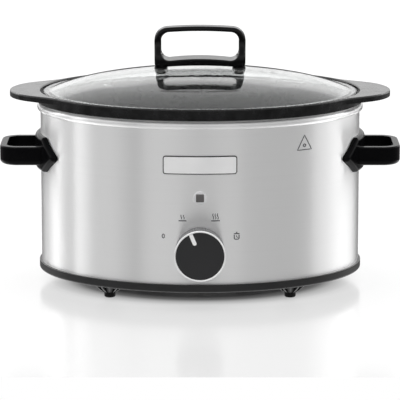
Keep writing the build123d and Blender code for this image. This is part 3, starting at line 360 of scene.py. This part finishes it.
def steam(x, bottom, height, swing, steps=8):
    """A rising S-shaped wisp."""
    parts = [i / steps for i in range(steps + 1)]
    return [(x + swing * math.sin(2 * math.pi * part), bottom + height * part) for part in parts]


def subdivided(corners, parts):
    """The closed outline's points with every side cut into parts."""
    out = []
    for (x0, z0), (x1, z1) in zip(corners, corners[1:] + corners[:1]):
        out += [(x0 + (x1 - x0) * i / parts, z0 + (z1 - z0) * i / parts) for i in range(parts)]
    return out


# Dial marks: degrees clockwise from the knob's top, and distance from its middle
ZERO_PLACE = (-67.5, 36.6 * MM)
LOW_PLACE = (-27.1, 35.3 * MM)
HIGH_PLACE = (24.4, 34.5 * MM)
WARM_PLACE = (67.5, 36.6 * MM)

ZERO_RADII = (1.1 * MM, 1.8 * MM)

BAR_DROP, WISP_DROP = 2.6 * MM, 1.2 * MM


def dial_place(angle, radius):
    """Centre of a dial mark."""
    turn = math.radians(angle)
    return radius * math.sin(turn), KNOB_Z + radius * math.cos(turn)


def heat_mark(name, place, half_bar, sides, pitch, rise, swing):
    """Wisps of steam over a bar; a wisp stands at each of sides, counted from the middle in pitches."""
    x, z = dial_place(*place)
    stroke(f"mark_{name}_bar", [(x - half_bar, z - BAR_DROP), (x + half_bar, z - BAR_DROP)], LINE)
    for side in sides:
        wisp = steam(x + side * pitch, z - WISP_DROP, rise, swing)
        stroke(f"mark_{name}_wisp_{side + 1}", wisp, WISP_LINE)


def zero_mark():
    """A small upright nought."""
    x, z = dial_place(*ZERO_PLACE)
    stroke("mark_zero", around(x, z, *ZERO_RADII, steps=18), ZERO_LINE, closed=True)


# The pot of the keep-warm mark, from its middle: half its outline, its lid, the lid's knob, a clock's hands
POT_HALF = [(2.2 * MM, 1.2 * MM), (2.2 * MM, -2.2 * MM), (1.4 * MM, -3.0 * MM)]
POT_LID, POT_LID_Z = 2.6 * MM, 2.2 * MM
POT_KNOB, POT_KNOB_Z = 0.6 * MM, 3.4 * MM
POT_HANDS = [(0, 0.6 * MM), (0, -0.8 * MM), (1.1 * MM, -1.4 * MM)]


def warm_mark():
    """A small pot with its lid and a clock's hands in it."""
    x, z = dial_place(*WARM_PLACE)
    pot = [(x - a, z + b) for a, b in POT_HALF] + [(x + a, z + b) for a, b in reversed(POT_HALF)]
    stroke("mark_warm_pot", pot, LINE)
    stroke("mark_warm_lid", [(x - POT_LID, z + POT_LID_Z), (x + POT_LID, z + POT_LID_Z)], LINE)
    stroke("mark_warm_knob", [(x - POT_KNOB, z + POT_KNOB_Z), (x + POT_KNOB, z + POT_KNOB_Z)], LINE)
    stroke("mark_warm_hand", [(x + a, z + b) for a, b in POT_HANDS], FINE_LINE)


TRIANGLE_X, TRIANGLE_Z = 96.6 * MM, 148.7 * MM
TRIANGLE_HALF, TRIANGLE_DROP, TRIANGLE_RISE = 6.6 * MM, 6.3 * MM, 7.4 * MM
DOT_R, DOT_DROP = 1.2 * MM, 2.2 * MM


def triangle_mark():
    """A plain triangle with a dot, in place of the symbol at the upper right."""
    base_z = TRIANGLE_Z - TRIANGLE_DROP
    corners = [(TRIANGLE_X - TRIANGLE_HALF, base_z), (TRIANGLE_X + TRIANGLE_HALF, base_z)]
    corners.append((TRIANGLE_X, TRIANGLE_Z + TRIANGLE_RISE))
    dot = around(TRIANGLE_X, TRIANGLE_Z - DOT_DROP, DOT_R, DOT_R, steps=12)
    stroke("mark_triangle", subdivided(corners, 8), FINE_LINE, closed=True)
    stroke("mark_triangle_dot", dot, DOT_LINE, closed=True)


zero_mark()
heat_mark(
    "low", LOW_PLACE, half_bar=3.6 * MM, sides=(-1, 1), pitch=1.2 * MM, rise=4.2 * MM, swing=0.35 * MM,
)
heat_mark(
    "high", HIGH_PLACE, half_bar=4.0 * MM, sides=(-1, 0, 1), pitch=2.1 * MM, rise=5.4 * MM, swing=0.45 * MM,
)
warm_mark()
triangle_mark()

# ---------------------------------------------------------------- table

FLOOR_FRONT, FLOOR_BACK, FLOOR_HALF = -0.36, 9.0, 6.0
FLOOR_GAP = 0.2 * MM
# Glow of the table and its painted shadow: the table glows, but not under the cooker, and the glow fades in
# round it, which paints the cooker's shadow: (distance from the middle in widths of the cooker, brightness)
GLOW_AND_PAINTED_SHADOW = [(0.34, 0.0), (0.39, 0.1), (0.43, 0.4), (0.48, 0.6), (0.56, 0.57), (0.8, 0.57)]


def floor_material():
    """Pale table that glows all round the place where the cooker stands; the glow dies away under and near the
    cooker, which paints the cooker's shadow.
    """
    material, tree, shader = new_material("floor_painted_shadow")
    value = noise(tree, 6)
    drive(tree, shader, "Base Color", value, (0.3, 0.13), (0.7, 0.15))
    drive(tree, shader, "Roughness", value, (0.3, 0.16), (0.7, 0.19))
    place = tree.nodes.new("ShaderNodeNewGeometry")
    oval = tree.nodes.new("ShaderNodeVectorMath")
    oval.operation = "MULTIPLY_ADD"
    oval.inputs[1].default_value = (1 / SHELL_A, 1 / SHELL_B, 0)
    oval.inputs[2].default_value = (0, -OVAL_Y / SHELL_B, 0)
    tree.links.new(place.outputs["Position"], oval.inputs[0])
    length = tree.nodes.new("ShaderNodeVectorMath")
    length.operation = "LENGTH"
    tree.links.new(oval.outputs["Vector"], length.inputs[0])
    reach = calc(tree, "DIVIDE", length.outputs["Value"], 2.0)
    # Painted shadow: no glow under the cooker, rising glow away from it
    drive(tree, shader, "Emission Color", reach, *GLOW_AND_PAINTED_SHADOW)
    set_shader(shader, Emission_Strength=1.0, Specular_IOR_Level=0.25)
    return material


bpy.ops.mesh.primitive_plane_add(size=1, location=(0, (FLOOR_FRONT + FLOOR_BACK) / 2, -FLOOR_GAP))
floor = bpy.context.object
floor.scale = (2 * FLOOR_HALF, FLOOR_BACK - FLOOR_FRONT, 1)
floor.name = "floor"
floor.data.materials.append(floor_material())
floor.visible_glossy = False

# ---------------------------------------------------------------- light

# Brightness of the studio round the object: (degrees from the front, brightness). The front is dim, and
# bright panels stand beside and behind the object. Their gaps show as upright bands in the steel.
RIGHT_SIDE = [
    (0, 1.73), (20, 1.95), (28, 1.68), (58, 1.58), (66, 1.58), (73, 1.65), (79, 2.5), (90, 2.9), (112, 4.5),
    (129, 5.0), (134, 5.0), (138, 5.0), (143, 4.6), (156, 3.0), (180, 2.9),
]
LEFT_SIDE = [
    (16, 2.0), (30, 2.1), (38, 1.55), (56, 2.14), (70, 1.95), (80, 3.1), (85, 4.4), (91, 2.2), (104, 2.3),
    (114, 5.0), (128, 5.0), (133, 3.3), (138, 3.3), (143, 5.0), (156, 3.4),
]
BRIGHTEST = 5.0
# Share of it at each height: (sine of the angle above the horizon, share). The dark belt just below the
# horizon keeps the crock's rim black, and the bright belt well above it lights the dome.
HEIGHT_SHARE = [
    (-1.0, 0.5), (-0.35, 0.5), (-0.24, 0.06), (0.0, 0.06), (0.03, 0.5), (0.22, 0.42), (0.38, 0.72),
    (0.45, 0.72), (0.5, 0.42), (0.7, 0.28), (1.0, 0.28),
]
OVERHEAD_STRENGTH, OVERHEAD_SPREAD = 3.6, 70


def studio():
    """Surroundings that the object reflects. The camera and the glass see a plain white backdrop instead."""
    world = bpy.data.worlds.new("studio")
    scene.world = world
    world.use_nodes = True
    tree = world.node_tree
    seen = tree.nodes["Background"]
    seen.inputs["Color"].default_value = (1, 1, 1, 1)
    coords = tree.nodes.new("ShaderNodeTexCoord")
    split = tree.nodes.new("ShaderNodeSeparateXYZ")
    tree.links.new(coords.outputs["Generated"], split.inputs["Vector"])

    turn = calc(tree, "ARCTAN2", split.outputs["X"], calc(tree, "MULTIPLY", split.outputs["Y"], -1.0))
    place = calc(tree, "ADD", calc(tree, "DIVIDE", turn, 2 * math.pi), 0.5)
    stops = [(0.5 + d / 360, v) for d, v in RIGHT_SIDE] + [(0.5 - d / 360, v) for d, v in LEFT_SIDE]
    stops.append((0.0, RIGHT_SIDE[-1][1]))
    sides = ramp(tree, place, *[(p, v / BRIGHTEST) for p, v in sorted(stops)])
    height = calc(tree, "ADD", calc(tree, "MULTIPLY", split.outputs["Z"], 0.5), 0.5)
    share = ramp(tree, height, *[((1 + z) / 2, v) for z, v in HEIGHT_SHARE])
    level = calc(tree, "MULTIPLY", calc(tree, "MULTIPLY", sides, share), BRIGHTEST)

    lit = tree.nodes.new("ShaderNodeBackground")
    tree.links.new(level, lit.inputs["Strength"])
    rays = tree.nodes.new("ShaderNodeLightPath")
    clear = calc(tree, "MAXIMUM", rays.outputs["Is Camera Ray"], rays.outputs["Is Transmission Ray"])
    choice = tree.nodes.new("ShaderNodeMixShader")
    tree.links.new(clear, choice.inputs["Fac"])
    tree.links.new(lit.outputs["Background"], choice.inputs[1])
    tree.links.new(seen.outputs["Background"], choice.inputs[2])
    tree.links.new(choice.outputs["Shader"], tree.nodes["World Output"].inputs["Surface"])


def overhead_lamp():
    """A soft distant light from straight above that no surface mirrors."""
    data = bpy.data.lights.new("overhead", "SUN")
    data.energy = OVERHEAD_STRENGTH
    data.angle = math.radians(OVERHEAD_SPREAD)
    light = bpy.data.objects.new("overhead", data)
    light.visible_glossy = False
    light.visible_transmission = False
    scene.collection.objects.link(light)


studio()
overhead_lamp()

# ---------------------------------------------------------------- camera

CAMERA_BACK, CAMERA_UP = 2.685, 0.631
CAMERA_PITCH = math.radians(11.67)
SENSOR = 36.0
FOCAL_PER_WIDTH = 7.14
CLIP_END = 50

camera_data = bpy.data.cameras.new("camera")
camera_data.sensor_width = SENSOR
camera_data.lens = FOCAL_PER_WIDTH * SENSOR
camera_data.clip_end = CLIP_END
camera = bpy.data.objects.new("camera", camera_data)
scene.collection.objects.link(camera)
camera.location = (0, OVAL_Y - CAMERA_BACK, CAMERA_UP)
camera.rotation_euler = (math.pi / 2 - CAMERA_PITCH, 0, 0)
scene.camera = camera
scene.view_settings.view_transform = "Standard"
